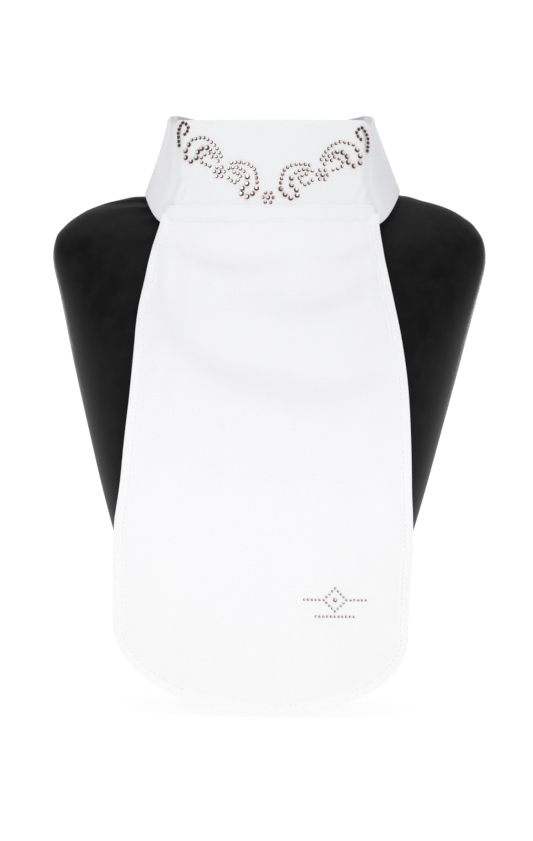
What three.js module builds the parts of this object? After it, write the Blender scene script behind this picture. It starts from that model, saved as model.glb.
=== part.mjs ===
// A white stock tie with a stand-up collar, a long rounded bib and a rhinestone ornament,
// shown on a plain black neck bust. Millimetres, +Z up, the front of the tie faces -Y.
import * as THREE from "three";

// Heights above the surface that the bust stands on
const collarTop = 329.5;
const collarFoot = 278;
const bandTop = 282.4;
const bandFoot = 273;
const sideFoot = 288;
const backFoot = 292;
const frontFoot = 271.8;
const footLift = { left: 1, right: 2.4 }; // how far above the side's foot each band ends
const rimPeak = 331.9; // the bands stand above the panel at its corners
const rimBack = 328;
const bibTip = 2;
const neckCap = 326;
const footHeight = 24;

// The collar's plan, as the outer face of the neck bands
const topHalfWidth = 58.4;
const sideHalfWidth = { left: 71.5, right: 73.2 };
const sideCurve = 1.12; // how the sides flare downward
const cornerCurve = 1.8; // how the sides leave the panel's edge
const topFrontDepth = 54;
const footFrontDepth = 64;
const topBackDepth = 52;
const footBackDepth = 55;
const frontRadius = 112;
const sideY = -4;
const backRoundness = 2.2;
const panelHalfWidth = 54.7;
const panelFlare = 6.3;
const flareHeight = 23;
const panelMargin = 1; // least distance from the panel's edge to the collar's full width
const collarSlant = 0.0187; // the collar sits a little higher on its right
const collarLean = 0.0018; // and leans a little to its left above the lean's foot
const leanFoot = 305;
const normalStep = 0.012;

// Cloth thicknesses and the gap that neighbours keep
const bandCloth = 1.2;
const panelCloth = 1.5;
const seamCloth = 0.8;
const bibCloth = 1.2;
const padThickness = 0.8;
const gap = 0.3;
const neckGap = 0.8;
const bandDrop = 0.4; // the bands' top edge at the front, below the panel's
const footCurve = 1.57; // how the bands' lower edge rises toward the sides
const bandRows = 4;

// Shares of the half girth, from the front centre (0) to the back centre (1)
const panelEdge = 0.28;
const sideShare = 0.35;
const rimFrom = 0.19; // where the bands' top starts to rise toward the panel's edge
const rimTo = 0.8; // and where it has come down again
const lapShare = 0.08;
const rampShare = 0.11;
const rampMargin = 0.01;
const panelSteps = [0, 0.07, 0.14, 0.21, panelEdge];
const hiddenSteps = [0.21, 0.245, panelEdge]; // the bands' ends under the panel
const sideSteps = [0.343, 0.406, 0.469, 0.532, 0.6, 0.67, 0.74, 0.81, 0.87, 0.92, 0.96];

// The bib
const bibHalfWidth = 82;
const bibRoundDepth = 46.5;
const bibFootTilt = 0.02; // the rounded end hangs a little lower on its right
const bibSlantFrom = 250;
const bibColumns = 18;
const bibRows = 22;
const seamMiddle = -1.2;
const seamTopHalf = 59.4;
const seamFootHalf = 60.6;
const panelColumns = 16;
const panelRows = 6;
const seamRows = 2;

// The hook-and-loop pad
const padShare = 0.085;
const padHeight = 25;
const padMiddle = 309;
const padColumns = 6;
const padRows = 1;

// The stones: flat backs with an eight-sided crown and a table
const smallStone = 2.05;
const largeStone = 3;
const stoneSides = 8;
const tableShare = 0.6;
const stoneRise = 0.42;
const girdle = 0.3;
const petals = 6;
const ornamentX = -2.1;
const ornamentZ = 286.25;
const ornamentTurn = -0.011;
const leftShare = 0.917; // the left half is set a little closer than the right

const white = { color: 0xf4f4f6, roughness: 0.85, metalness: 0 };
const black = { color: 0x19191b, roughness: 0.45, metalness: 0 };
const rose = { color: 0xcfa098, roughness: 0.12, metalness: 0.3 };
const padWhite = { color: 0xe9e9ea, roughness: 0.95, metalness: 0 };

// Straight steps between the rows of a table, read in the column named by key.
function readTable(rows, key, z) {
  const last = rows.length - 1;
  if (z <= rows[0].z) return rows[0][key];
  if (z >= rows[last].z) return rows[last][key];
  const k = rows.findIndex((row) => row.z > z);
  const share = (z - rows[k - 1].z) / (rows[k].z - rows[k - 1].z);
  return THREE.MathUtils.lerp(rows[k - 1][key], rows[k][key], share);
}

// How far the collar has leaned sideways at a height.
function leanAt(z) {
  return -collarLean * Math.max(z - leanFoot, 0) ** 2;
}

// Half width of the stiff front panel: straight sides that flare just above the seam.
function panelHalfAt(z) {
  const flare = THREE.MathUtils.smoothstep(z, bandFoot, bandFoot + flareHeight);
  return panelHalfWidth + panelFlare * (1 - flare);
}

// Point of the collar's outer plan at a height, t from the front centre (0) to the back centre (1 or -1).
function neckPlan(t, z) {
  const wrapped = Math.abs(t) > 1 ? t - 2 * Math.sign(t) : t;
  const side = Math.sign(wrapped);
  const share = Math.abs(wrapped);
  const down = (collarTop - z) / (collarTop - sideFoot);
  const rise = (collarTop - z) / (collarTop - bandFoot);
  const full = side < 0 ? sideHalfWidth.left : sideHalfWidth.right;
  const half = topHalfWidth + (full - topHalfWidth) * Math.max(down, 0) ** sideCurve;
  const front = -THREE.MathUtils.lerp(topFrontDepth, footFrontDepth, rise);
  const back = THREE.MathUtils.lerp(topBackDepth, footBackDepth, rise);
  const edgeX = Math.min(panelHalfAt(z), half - panelMargin);
  if (share <= panelEdge) {
    const x = (edgeX * share) / panelEdge;
    return new THREE.Vector2(side * x, front + (x * x) / (2 * frontRadius));
  }
  const edgeY = front + (edgeX * edgeX) / (2 * frontRadius);
  const along = (share - panelEdge) / (1 - panelEdge);
  if (along < sideShare) {
    const w = along / sideShare;
    const x = half - (half - edgeX) * (1 - w) ** cornerCurve;
    return new THREE.Vector2(side * x, THREE.MathUtils.lerp(edgeY, sideY, w));
  }
  const turn = (((along - sideShare) / (1 - sideShare)) * Math.PI) / 2;
  const x = half * Math.max(Math.cos(turn), 0) ** (2 / backRoundness);
  return new THREE.Vector2(side * x, sideY + (back - sideY) * Math.sin(turn) ** (2 / backRoundness));
}

// The same point with the collar's lean, moved outward, square to the plan.
function neckPoint(t, z, outward) {
  const point = neckPlan(t, z);
  const along = neckPlan(t + normalStep, z).sub(neckPlan(t - normalStep, z)).normalize();
  return [point.x + along.y * outward + leanAt(z), point.y - along.x * outward, z];
}

// Direction that the front panel faces at a place across it, leaning back a little.
function panelFacing(x) {
  const lean = (footFrontDepth - topFrontDepth) / (collarTop - bandFoot);
  return new THREE.Vector3(x / frontRadius, -1, lean).normalize();
}

// Point on the front panel at a place across it, moved outward.
function panelPoint(x, z, outward) {
  const front = neckPlan(0, z).y + (x * x) / (2 * frontRadius);
  const here = new THREE.Vector3(x + leanAt(z), front, z);
  return here.addScaledVector(panelFacing(x), outward).toArray();
}

// Even steps from 0 to 1.
function evenSteps(count) {
  return Array.from({ length: count + 1 }, (_, k) => k / count);
}

// A closed wall of cloth over the given steps. pointAt(across, down, outer) gives its two faces.
function clothWall(acrossSteps, downSteps, pointAt) {
  const columns = acrossSteps.length - 1;
  const rows = downSteps.length - 1;
  const positions = [];
  const index = [];
  const vertex = (i, j, outer) => (outer * (rows + 1) + j) * (columns + 1) + i;
  const quad = (a, b, c, d) => index.push(a, b, c, a, c, d);
  for (const outer of [0, 1]) {
    for (const down of downSteps) {
      for (const across of acrossSteps) positions.push(...pointAt(across, down, outer));
    }
  }
  for (let j = 0; j < rows; j++) {
    for (let i = 0; i < columns; i++) {
      quad(vertex(i, j, 1), vertex(i, j + 1, 1), vertex(i + 1, j + 1, 1), vertex(i + 1, j, 1));
      quad(vertex(i, j, 0), vertex(i + 1, j, 0), vertex(i + 1, j + 1, 0), vertex(i, j + 1, 0));
    }
    const end = columns;
    quad(vertex(0, j, 0), vertex(0, j + 1, 0), vertex(0, j + 1, 1), vertex(0, j, 1));
    quad(vertex(end, j, 1), vertex(end, j + 1, 1), vertex(end, j + 1, 0), vertex(end, j, 0));
  }
  for (let i = 0; i < columns; i++) {
    quad(vertex(i, 0, 0), vertex(i, 0, 1), vertex(i + 1, 0, 1), vertex(i + 1, 0, 0));
    quad(vertex(i, rows, 1), vertex(i, rows, 0), vertex(i + 1, rows, 0), vertex(i + 1, rows, 1));
  }
  return closedGeometry(positions, index);
}

// A closed solid through rings of equal count, from the lowest to the highest, with flat ends.
function ringLoft(rings) {
  const count = rings[0].length;
  const last = (rings.length - 1) * count;
  const index = [];
  for (let r = 0; r < rings.length - 1; r++) {
    for (let k = 0; k < count; k++) {
      const a = r * count + k;
      const b = r * count + ((k + 1) % count);
      index.push(a, b, b + count, a, b + count, a + count);
    }
  }
  for (let k = 1; k < count - 1; k++) index.push(0, k + 1, k, last, last + k, last + k + 1);
  return closedGeometry(rings.flat(2), index);
}

function closedGeometry(positions, index) {
  const geometry = new THREE.BufferGeometry();
  geometry.setAttribute("position", new THREE.Float32BufferAttribute(positions, 3));
  geometry.setIndex(index);
  geometry.computeVertexNormals();
  return geometry;
}

const part = new THREE.Group();

function addMesh(name, geometry, finish) {
  const mesh = new THREE.Mesh(geometry, new THREE.MeshStandardMaterial(finish));
  mesh.name = name;
  part.add(mesh);
}

// The bust: foot, tapering chest, rounded shoulders, and a neck that the collar closes round.
// The chest sits a little to the left of the neck, by the shift of each section.
const bustSections = [
  { z: 0, half: 36, front: 40, back: 50, shift: -1 },
  { z: footHeight, half: 36, front: 40, back: 50, shift: -1 },
  { z: 26, half: 62, front: 45, back: 50, shift: -1.2 },
  { z: 60, half: 73, front: 52, back: 54, shift: -1.4 },
  { z: 109, half: 87.7, front: 62, back: 58, shift: -1.6 },
  { z: 149, half: 97.9, front: 70, back: 60, shift: -1.6 },
  { z: 190, half: 108, front: 75.5, back: 60, shift: -1.4 },
  { z: 213, half: 113.2, front: 74, back: 59, shift: -1.1 },
  { z: 230, half: 117.3, front: 66.5, back: 57, shift: -0.9 },
  { z: 240, half: 119.8, front: 60.5, back: 55.5, shift: -0.9 },
  { z: 248, half: 121.6, front: 56.5, back: 54, shift: -0.8 },
  { z: 255, half: 122, front: 52, back: 50, shift: -0.7 },
  { z: 262, half: 121, front: 48, back: 45, shift: -0.6 },
  { z: 268, half: 117.9, front: 40, back: 39, shift: -0.4 },
  { z: 273, half: 113.2, front: 33, back: 33, shift: -0.2 },
  { z: 277, half: 107.4, front: 27, back: 28, shift: -0.1 },
  { z: 280.5, half: 100.6, front: 20, back: 22, shift: 0 },
  { z: 283, half: 93.6, front: 13, back: 16, shift: 0 },
  { z: 285, half: 86, front: 7, back: 10, shift: 0 },
  { z: 286.4, half: 78.8, front: 5, back: 7, shift: 0 },
  { z: 287.7, half: 74.4, front: 4, back: 5, shift: 0 },
];
const neckRings = [289.3, 297, 306, 316, 324.5];
const neckCapInset = 1.5;
const chestRoundness = 2.4;
const neckFrom = 248; // from here up the chest is never slimmer than the neck
const shoulderSlantFrom = 235;
const shoulderSlantTo = 300;

// Radius of the chest in the direction of (x, y), with its own front and back depth.
function chestRadius(x, y, { half, front, back }) {
  const reach = Math.hypot(x, y);
  const depth = y < 0 ? front : back;
  const across = Math.abs(x / reach / half) ** chestRoundness;
  const deep = Math.abs(y / reach / depth) ** chestRoundness;
  return (across + deep) ** (-1 / chestRoundness);
}

function buildBust() {
  const half = [...panelSteps.slice(1), ...sideSteps];
  const shares = [...half.toReversed().map((t) => -t), 0, ...half, 1];
  const neckRing = (level, inset) => shares.map((t) => {
    const z = level + neckPlan(t, level).x * collarSlant;
    return neckPoint(t, z, -bandCloth - neckGap - inset);
  });
  const neckBase = neckRing(sideFoot, 0);
  const rings = bustSections.map((section) => {
    const slant = collarSlant * THREE.MathUtils.smoothstep(section.z, shoulderSlantFrom, shoulderSlantTo);
    return neckBase.map(([x, y]) => {
      const reach = Math.hypot(x, y);
      const chest = chestRadius(x, y, section);
      const radius = section.z > neckFrom ? Math.max(chest, reach) : chest;
      const across = (x / reach) * radius;
      return [across + section.shift, (y / reach) * radius, section.z + across * slant];
    });
  });
  for (const level of neckRings) rings.push(neckRing(level, 0));
  rings.push(neckRing(neckCap, neckCapInset));
  addMesh("neck_bust", ringLoft(rings), black);
}

// The stiff front panel, level across its top and curved round the throat.
function buildPanel() {
  const panel = clothWall(evenSteps(panelColumns), evenSteps(panelRows), (across, down, outer) => {
    const level = THREE.MathUtils.lerp(collarTop, collarFoot, down);
    const x = panelHalfAt(level) * (2 * across - 1);
    return panelPoint(x, level + x * collarSlant, gap + panelCloth * outer);
  });
  addMesh("collar_front", panel, white);
}

// Heights of a neck band's upper and lower edge at a share of the half girth.
function bandEdges(share, side) {
  const sideEdge = panelEdge + sideShare * (1 - panelEdge);
  const sideLevel = sideFoot + (side < 0 ? footLift.left : footLift.right);
  const towardPeak = THREE.MathUtils.smoothstep(share, rimFrom, panelEdge);
  const pastPeak = THREE.MathUtils.smoothstep(share, panelEdge, rimTo);
  const toSide = THREE.MathUtils.clamp((share - panelEdge) / (sideEdge - panelEdge), 0, 1);
  const rise = 1 - (1 - toSide) ** footCurve;
  const toBack = THREE.MathUtils.smoothstep(share, sideEdge, 1);
  const start = collarTop - bandDrop;
  const top = start + (rimPeak - start) * towardPeak - (rimPeak - rimBack) * pastPeak;
  return { top, foot: frontFoot + (sideLevel - frontFoot) * rise + (backFoot - sideLevel) * toBack };
}

// A neck band from under the panel's edge, round the side and past the back centre.
// The right one steps outward at the back, where it laps over the pad and the left one.
function buildBand(name, side, lapLift) {
  const shares = [...hiddenSteps, ...sideSteps, 1, 1 + lapShare / 2, 1 + lapShare];
  const columns = side > 0 ? shares : shares.toReversed().map((share) => -share);
  const rampEnd = 1 - lapShare - rampMargin;
  const band = clothWall(columns, evenSteps(bandRows), (t, down, outer) => {
    const share = Math.abs(t);
    const { top, foot } = bandEdges(Math.min(share, 2 - share), side);
    const level = THREE.MathUtils.lerp(top, foot, down);
    const z = level + neckPlan(t, level).x * collarSlant;
    const lift = lapLift * THREE.MathUtils.smoothstep(share, rampEnd - rampShare, rampEnd);
    return neckPoint(t, z, lift - bandCloth * (1 - outer));
  });
  addMesh(name, band, white);
}

function buildClosurePad() {
  const pad = clothWall(evenSteps(padColumns), evenSteps(padRows), (across, down, outer) => {
    const t = 1 + padShare * (2 * across - 1);
    const z = padMiddle + padHeight * (0.5 - down);
    return neckPoint(t, z, gap + padThickness * outer);
  });
  addMesh("closure_pad", pad, padWhite);
}

// The flat band that covers the seam between panel and bib.
function buildSeamBand() {
  const band = clothWall(evenSteps(panelColumns), evenSteps(seamRows), (across, down, outer) => {
    const level = THREE.MathUtils.lerp(bandTop, bandFoot, down);
    const x = seamMiddle + THREE.MathUtils.lerp(seamTopHalf, seamFootHalf, down) * (2 * across - 1);
    return panelPoint(x, level + x * collarSlant, 2 * gap + panelCloth + seamCloth * outer);
  });
  addMesh("seam_band", band, white);
}

// The bib's middle and half width, the reach of its face in front of the neck's axis,
// and how far its edges bend back.
const bibSections = [
  { z: 2, middle: 0.5, half: 82.5, reach: 78, bend: 6 },
  { z: 48, middle: -1.4, half: 81.5, reach: 78.6, bend: 6 },
  { z: 66, middle: -1.5, half: 82, reach: 78.8, bend: 6.3 },
  { z: 104, middle: -0.9, half: 82.7, reach: 79.2, bend: 7 },
  { z: 128, middle: -0.1, half: 80.8, reach: 79.3, bend: 7.7 },
  { z: 149, middle: 0.3, half: 79.6, reach: 79.4, bend: 8.5 },
  { z: 175, middle: 0.7, half: 77.8, reach: 79.1, bend: 10.2 },
  { z: 188, middle: 0.6, half: 76.6, reach: 78.8, bend: 11 },
  { z: 201, middle: 0.1, half: 75.1, reach: 77.9, bend: 12.4 },
  { z: 215, middle: -0.7, half: 73.2, reach: 76.8, bend: 14 },
  { z: 228, middle: -1.3, half: 70.9, reach: 74.6, bend: 16.9 },
  { z: 241, middle: -1.6, half: 68.3, reach: 72, bend: 20 },
  { z: 257, middle: -1.8, half: 64.8, reach: 68.7, bend: 24.8 },
  { z: 271, middle: -1, half: 60.8, reach: 65.9, bend: 29.3 },
  { z: 277.7, middle: -0.2, half: 59.8, reach: 64.8, bend: 30 },
];

// Faint drag folds that swing from the seam's corners across the bib: ends, depth and half breadth.
const bibFolds = [
  { fromX: -55, fromZ: 259, toX: -2, toZ: 250, sag: 6, depth: 0.9, breadth: 5 },
  { fromX: -62, fromZ: 236, toX: -56, toZ: 208, sag: -2, depth: 0.8, breadth: 7 },
  { fromX: -57, fromZ: 212, toX: 4, toZ: 184, sag: 8, depth: 1.1, breadth: 7 },
  { fromX: -10, fromZ: 187, toX: 58, toZ: 186, sag: 8, depth: 1.0, breadth: 8 },
  { fromX: 53, fromZ: 238, toX: -4, toZ: 230, sag: 7, depth: 0.7, breadth: 7 },
  { fromX: 58, fromZ: 262, toX: 30, toZ: 254, sag: 3, depth: 0.5, breadth: 4 },
];

const foldFade = 4; // how fast a fold dies out past its ends
const foldEndShare = 0.15; // where along half a sine wave a fold starts and ends

// Depth of all folds at a place on the bib, a soft groove along each sagging line.
function foldDepth(x, z) {
  let depth = 0;
  for (const fold of bibFolds) {
    const share = (x - fold.fromX) / (fold.toX - fold.fromX);
    const inside = THREE.MathUtils.clamp(share, 0, 1);
    const line = THREE.MathUtils.lerp(fold.fromZ, fold.toZ, inside) - fold.sag * 4 * inside * (1 - inside);
    const away = (z - line) / fold.breadth;
    const past = (share - inside) * foldFade;
    const swell = Math.sin(Math.PI * THREE.MathUtils.lerp(foldEndShare, 1 - foldEndShare, inside));
    depth += fold.depth * swell * Math.exp(-past * past - away * away);
  }
  return depth;
}

function buildBib() {
  const top = bibSections[bibSections.length - 1].z;
  const bib = clothWall(evenSteps(bibColumns), evenSteps(bibRows), (across, down, outer) => {
    const angle = (across - 0.5) * Math.PI;
    const tilt = bibFootTilt * bibHalfWidth * Math.sin(angle);
    const foot = bibTip + bibRoundDepth * (1 - Math.cos(angle)) - tilt;
    const z = THREE.MathUtils.lerp(top, foot, down);
    const x = readTable(bibSections, "middle", z) + Math.sin(angle) * readTable(bibSections, "half", z);
    const slant = x * collarSlant * THREE.MathUtils.smoothstep(z, bibSlantFrom, top);
    const bend = readTable(bibSections, "bend", z) * (x / bibHalfWidth) ** 2;
    const face = bend + foldDepth(x, z) - readTable(bibSections, "reach", z);
    return [x, face + bibCloth * (1 - outer), z + slant];
  });
  addMesh("bib", bib, white);
}

// Corner of a stone: level 0 is the flat back, 1 the girdle's upper edge and 2 the table.
function stoneCorner({ here, facing, size }, level, k) {
  const radius = (size / 2) * (level === 2 ? tableShare : 1);
  const height = [0, girdle, size * stoneRise][level];
  const angle = (2 * Math.PI * k) / stoneSides;
  const right = new THREE.Vector3(0, 0, 1).cross(facing).normalize();
  const up = facing.clone().cross(right);
  return here.clone()
    .addScaledVector(facing, height)
    .addScaledVector(right, radius * Math.cos(angle))
    .addScaledVector(up, radius * Math.sin(angle));
}

// The girdle side of one stone that looks most toward another, apart from sides that are in use.
function sideToward(corners, used, target) {
  const sides = evenSteps(stoneSides).slice(0, -1).map((_, k) => k);
  const reach = (k) => corners[k].clone().lerp(corners[(k + 1) % stoneSides], 0.5).distanceTo(target);
  return sides.filter((k) => !used.has(k)).sort((a, b) => reach(a) - reach(b))[0];
}

// Ties each stone to the nearest one that is tied already, from the first one on.
function nearestTies(stones) {
  const ties = [];
  const tied = [0];
  const waiting = stones.map((_, k) => k).slice(1);
  while (waiting.length) {
    const away = (a, b) => stones[a].here.distanceTo(stones[b].here);
    const pairs = waiting.flatMap((b) => tied.map((a) => ({ a, b, away: away(a, b) })));
    const nearest = pairs.reduce((best, pair) => (pair.away < best.away ? pair : best));
    ties.push(nearest);
    tied.push(nearest.b);
    waiting.splice(waiting.indexOf(nearest.b), 1);
  }
  return ties;
}

// One closed solid of cut stones. Where two are tied, a thin bar of glue runs from girdle to girdle.
function fusedStones(stones) {
  const around = evenSteps(stoneSides).slice(0, -1);
  const ringOf = (stone, level) => around.map((_, k) => stoneCorner(stone, level, k));
  const corners = stones.map((stone) => [0, 1, 2].flatMap((level) => ringOf(stone, level)));
  const perStone = 3 * stoneSides;
  const used = stones.map(() => new Set());
  const index = [];
  const quad = (a, b, c, d) => index.push(a, b, c, a, c, d);
  for (const { a, b } of nearestTies(stones)) {
    const sideA = sideToward(corners[a], used[a], stones[b].here);
    const sideB = sideToward(corners[b], used[b], stones[a].here);
    used[a].add(sideA);
    used[b].add(sideB);
    const [a0, a1] = [sideA, (sideA + 1) % stoneSides].map((k) => a * perStone + k);
    const [b0, b1] = [sideB, (sideB + 1) % stoneSides].map((k) => b * perStone + k);
    quad(a0, b1, b1 + stoneSides, a0 + stoneSides);
    quad(b0, a1, a1 + stoneSides, b0 + stoneSides);
    quad(a0 + stoneSides, b1 + stoneSides, b0 + stoneSides, a1 + stoneSides);
    quad(a1, b0, b1, a0);
  }
  stones.forEach((_, s) => {
    const first = s * perStone;
    for (let k = 0; k < stoneSides; k++) {
      const a = first + k;
      const b = first + ((k + 1) % stoneSides);
      if (!used[s].has(k)) quad(a, b, b + stoneSides, a + stoneSides);
      quad(a + stoneSides, b + stoneSides, b + 2 * stoneSides, a + 2 * stoneSides);
    }
    for (let k = 1; k < stoneSides - 1; k++) {
      const table = first + 2 * stoneSides;
      index.push(first, first + k + 1, first + k, table, table + k, table + k + 1);
    }
  });
  return closedGeometry(corners.flat().flatMap((corner) => corner.toArray()), index);
}

// The ornament's right half, from the centre of the middle flower. Each run is a curve through the
// points of its line, with that many stones spaced evenly along it.
const motifs = {
  lower_scroll: [
    { stones: 10, size: smallStone, line: [[22.2, 18.5], [17.2, 19], [11.8, 17.8], [8.2, 14.8], [6.7, 8.2]] },
    { stones: 7, size: largeStone, line: [[6.9, 4.9], [11.6, 0.1], [16.7, 2.9], [12.7, 7.1], [12.5, 11]] },
    { stones: 5, size: smallStone, line: [[14.7, 14], [18.5, 16.1], [23.7, 15.4]] },
    { stones: 7, size: smallStone, line: [[20.5, 13.5], [16.7, 11.6], [19.9, 7.7], [23.9, 10.2]] },
  ],
  upper_scroll: [
    { stones: 10, size: smallStone, line: [[28.5, 21.8], [32, 27.5], [38.5, 31.9], [46, 30.6]] },
    { stones: 4, size: largeStone, line: [[48, 27.9], [50, 23.5], [49.4, 20.4], [46.4, 18.8]] },
    { stones: 4, size: largeStone, line: [[43.2, 20.8], [42.3, 24.4], [40.2, 26], [37, 26.5]] },
    { stones: 4, size: smallStone, line: [[34.8, 25.5], [32.3, 23.4], [30.3, 19.3]] },
    { stones: 7, size: smallStone, line: [[34, 21.5], [35.9, 23.5], [40.1, 21.1], [39.6, 18], [35, 16.4]] },
  ],
  hook: [
    {
      stones: 11,
      size: smallStone,
      line: [[50.2, 33.7], [47.9, 37.1], [51.1, 40.2], [54.1, 34.7], [53.8, 27.4]],
    },
  ],
};
const sideFlower = { x: 29.3, z: 13.4, size: 2.8, petalReach: 2.9 };
const middleFlower = { x: 0, z: 0, size: 2.6, petalReach: 3 };

// Sets a stone of the ornament on the panel, with the ornament's own turn and place.
function setStone(xAcross, z, size) {
  const x = xAcross < 0 ? xAcross * leftShare : xAcross;
  const turnedX = x * Math.cos(ornamentTurn) - z * Math.sin(ornamentTurn);
  const turnedZ = x * Math.sin(ornamentTurn) + z * Math.cos(ornamentTurn);
  const place = panelPoint(ornamentX + turnedX, ornamentZ + turnedZ, 2 * gap + panelCloth);
  return { size, here: new THREE.Vector3(...place), facing: panelFacing(ornamentX + turnedX) };
}

function runStones(run, side) {
  const curve = new THREE.SplineCurve(run.line.map(([x, z]) => new THREE.Vector2(x, z)));
  const points = curve.getSpacedPoints(run.stones - 1);
  return points.map((point) => setStone(side * point.x, point.y, run.size));
}

function flowerStones(flower, side) {
  const stones = [setStone(side * flower.x, flower.z, flower.size)];
  for (let k = 0; k < petals; k++) {
    const angle = (2 * Math.PI * k) / petals;
    const x = flower.x + flower.petalReach * Math.cos(angle);
    stones.push(setStone(side * x, flower.z + flower.petalReach * Math.sin(angle), smallStone));
  }
  return stones;
}

function addStones(name, stones) {
  addMesh(name, fusedStones(stones), rose);
}

function buildOrnament() {
  for (const [handName, side] of [["left", -1], ["right", 1]]) {
    for (const [motif, runs] of Object.entries(motifs)) {
      addStones(`stones_${motif}_${handName}`, runs.flatMap((run) => runStones(run, side)));
    }
    addStones(`stones_flower_${handName}`, flowerStones(sideFlower, side));
  }
  addStones("stones_flower_middle", flowerStones(middleFlower, 1));
}

buildBust();
buildPanel();
buildBand("neckband_left", -1, 0);
buildBand("neckband_right", 1, 2 * gap + padThickness + bandCloth);
buildClosurePad();
buildSeamBand();
buildBib();
buildOrnament();

// The origin is the middle of the box that the part fills, on the surface that it stands on.
const box = new THREE.Box3().setFromObject(part);
part.position.set(-(box.min.x + box.max.x) / 2, -(box.min.y + box.max.y) / 2, 0);

export default part;
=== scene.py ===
import math
import random

import bpy
from mathutils import Matrix, Quaternion, Vector, noise


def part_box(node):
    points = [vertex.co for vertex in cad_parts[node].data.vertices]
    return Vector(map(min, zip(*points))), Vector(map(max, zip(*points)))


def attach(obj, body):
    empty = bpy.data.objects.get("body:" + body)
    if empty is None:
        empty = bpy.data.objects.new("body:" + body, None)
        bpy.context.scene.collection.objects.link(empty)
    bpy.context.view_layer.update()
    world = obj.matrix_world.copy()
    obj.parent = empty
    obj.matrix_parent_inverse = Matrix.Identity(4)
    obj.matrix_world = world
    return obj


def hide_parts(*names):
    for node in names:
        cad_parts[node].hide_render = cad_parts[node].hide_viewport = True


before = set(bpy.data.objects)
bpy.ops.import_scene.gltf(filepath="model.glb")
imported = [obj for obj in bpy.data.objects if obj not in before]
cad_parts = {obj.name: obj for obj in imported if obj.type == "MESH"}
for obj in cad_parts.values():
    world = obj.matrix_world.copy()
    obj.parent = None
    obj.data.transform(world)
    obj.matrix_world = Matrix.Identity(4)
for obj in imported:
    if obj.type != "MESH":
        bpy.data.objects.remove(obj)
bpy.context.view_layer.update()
random.seed(7)

# The shapes below are in millimetres round the neck's own axis, and place() takes them into the frame.
panelLow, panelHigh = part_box("collar_front")
neckAxis = Vector(((panelLow.x + panelHigh.x) / 2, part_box("neck_bust")[1].y - 0.060))


def place(x, y, z):
    return Vector((x * 0.001 + neckAxis.x, y * 0.001 + neckAxis.y, z * 0.001))


def smoothStep(value, start, end):
    share = min(max((value - start) / (end - start), 0), 1)
    return share * share * (3 - 2 * share)


def blendValue(a, b, share):
    return a + (b - a) * share


def bump(value, middle, breadth):  # a soft hump, 1 at its middle
    return math.exp(-((value - middle) / breadth) ** 2)


camera = dict(target=(-0.6, -75, 164), distance=2.72, elevation=2.5, roll=1.07, lens=211.7)


def makeCamera():
    target = place(*camera["target"])
    up = math.radians(camera["elevation"])
    data = bpy.data.cameras.new("frontCamera")
    data.sensor_fit = "VERTICAL"
    data.sensor_height = 36
    data.lens = camera["lens"]
    eye = bpy.data.objects.new("frontCamera", data)
    bpy.context.scene.collection.objects.link(eye)
    eye.location = target + camera["distance"] * Vector((0, -math.cos(up), math.sin(up)))
    facing = (target - eye.location).to_track_quat("-Z", "Y")
    eye.rotation_mode = "QUATERNION"
    eye.rotation_quaternion = facing @ Quaternion((0, 0, 1), math.radians(camera["roll"]))
    bpy.context.scene.camera = eye
    print("camera in place")


studio = dict(
    ambient=0.86,
    # share of the ambient, by how far sideways it comes from
    sideLevels=[(0.0, 1.0), (0.45, 0.95), (0.72, 0.42), (1.0, 0.5)],
    backdrop=1.05,  # what the camera sees behind the object
    floorColor=(0.12, 0.12, 0.12, 1),
    floorGlow=0.93,
    lights=[
        dict(name="keyLight", place=(-0.55, -1.7, 1.35), size=1.3, power=6),
        dict(name="topLight", place=(0.15, -0.2, 1.9), size=1.5, power=6),
        dict(name="leftRim", place=(-0.8, 2.2, 0.1), size=0.35, power=2),
        dict(name="rightRim", place=(0.8, 2.2, 0.1), size=0.35, power=3),
    ],
)


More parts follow.
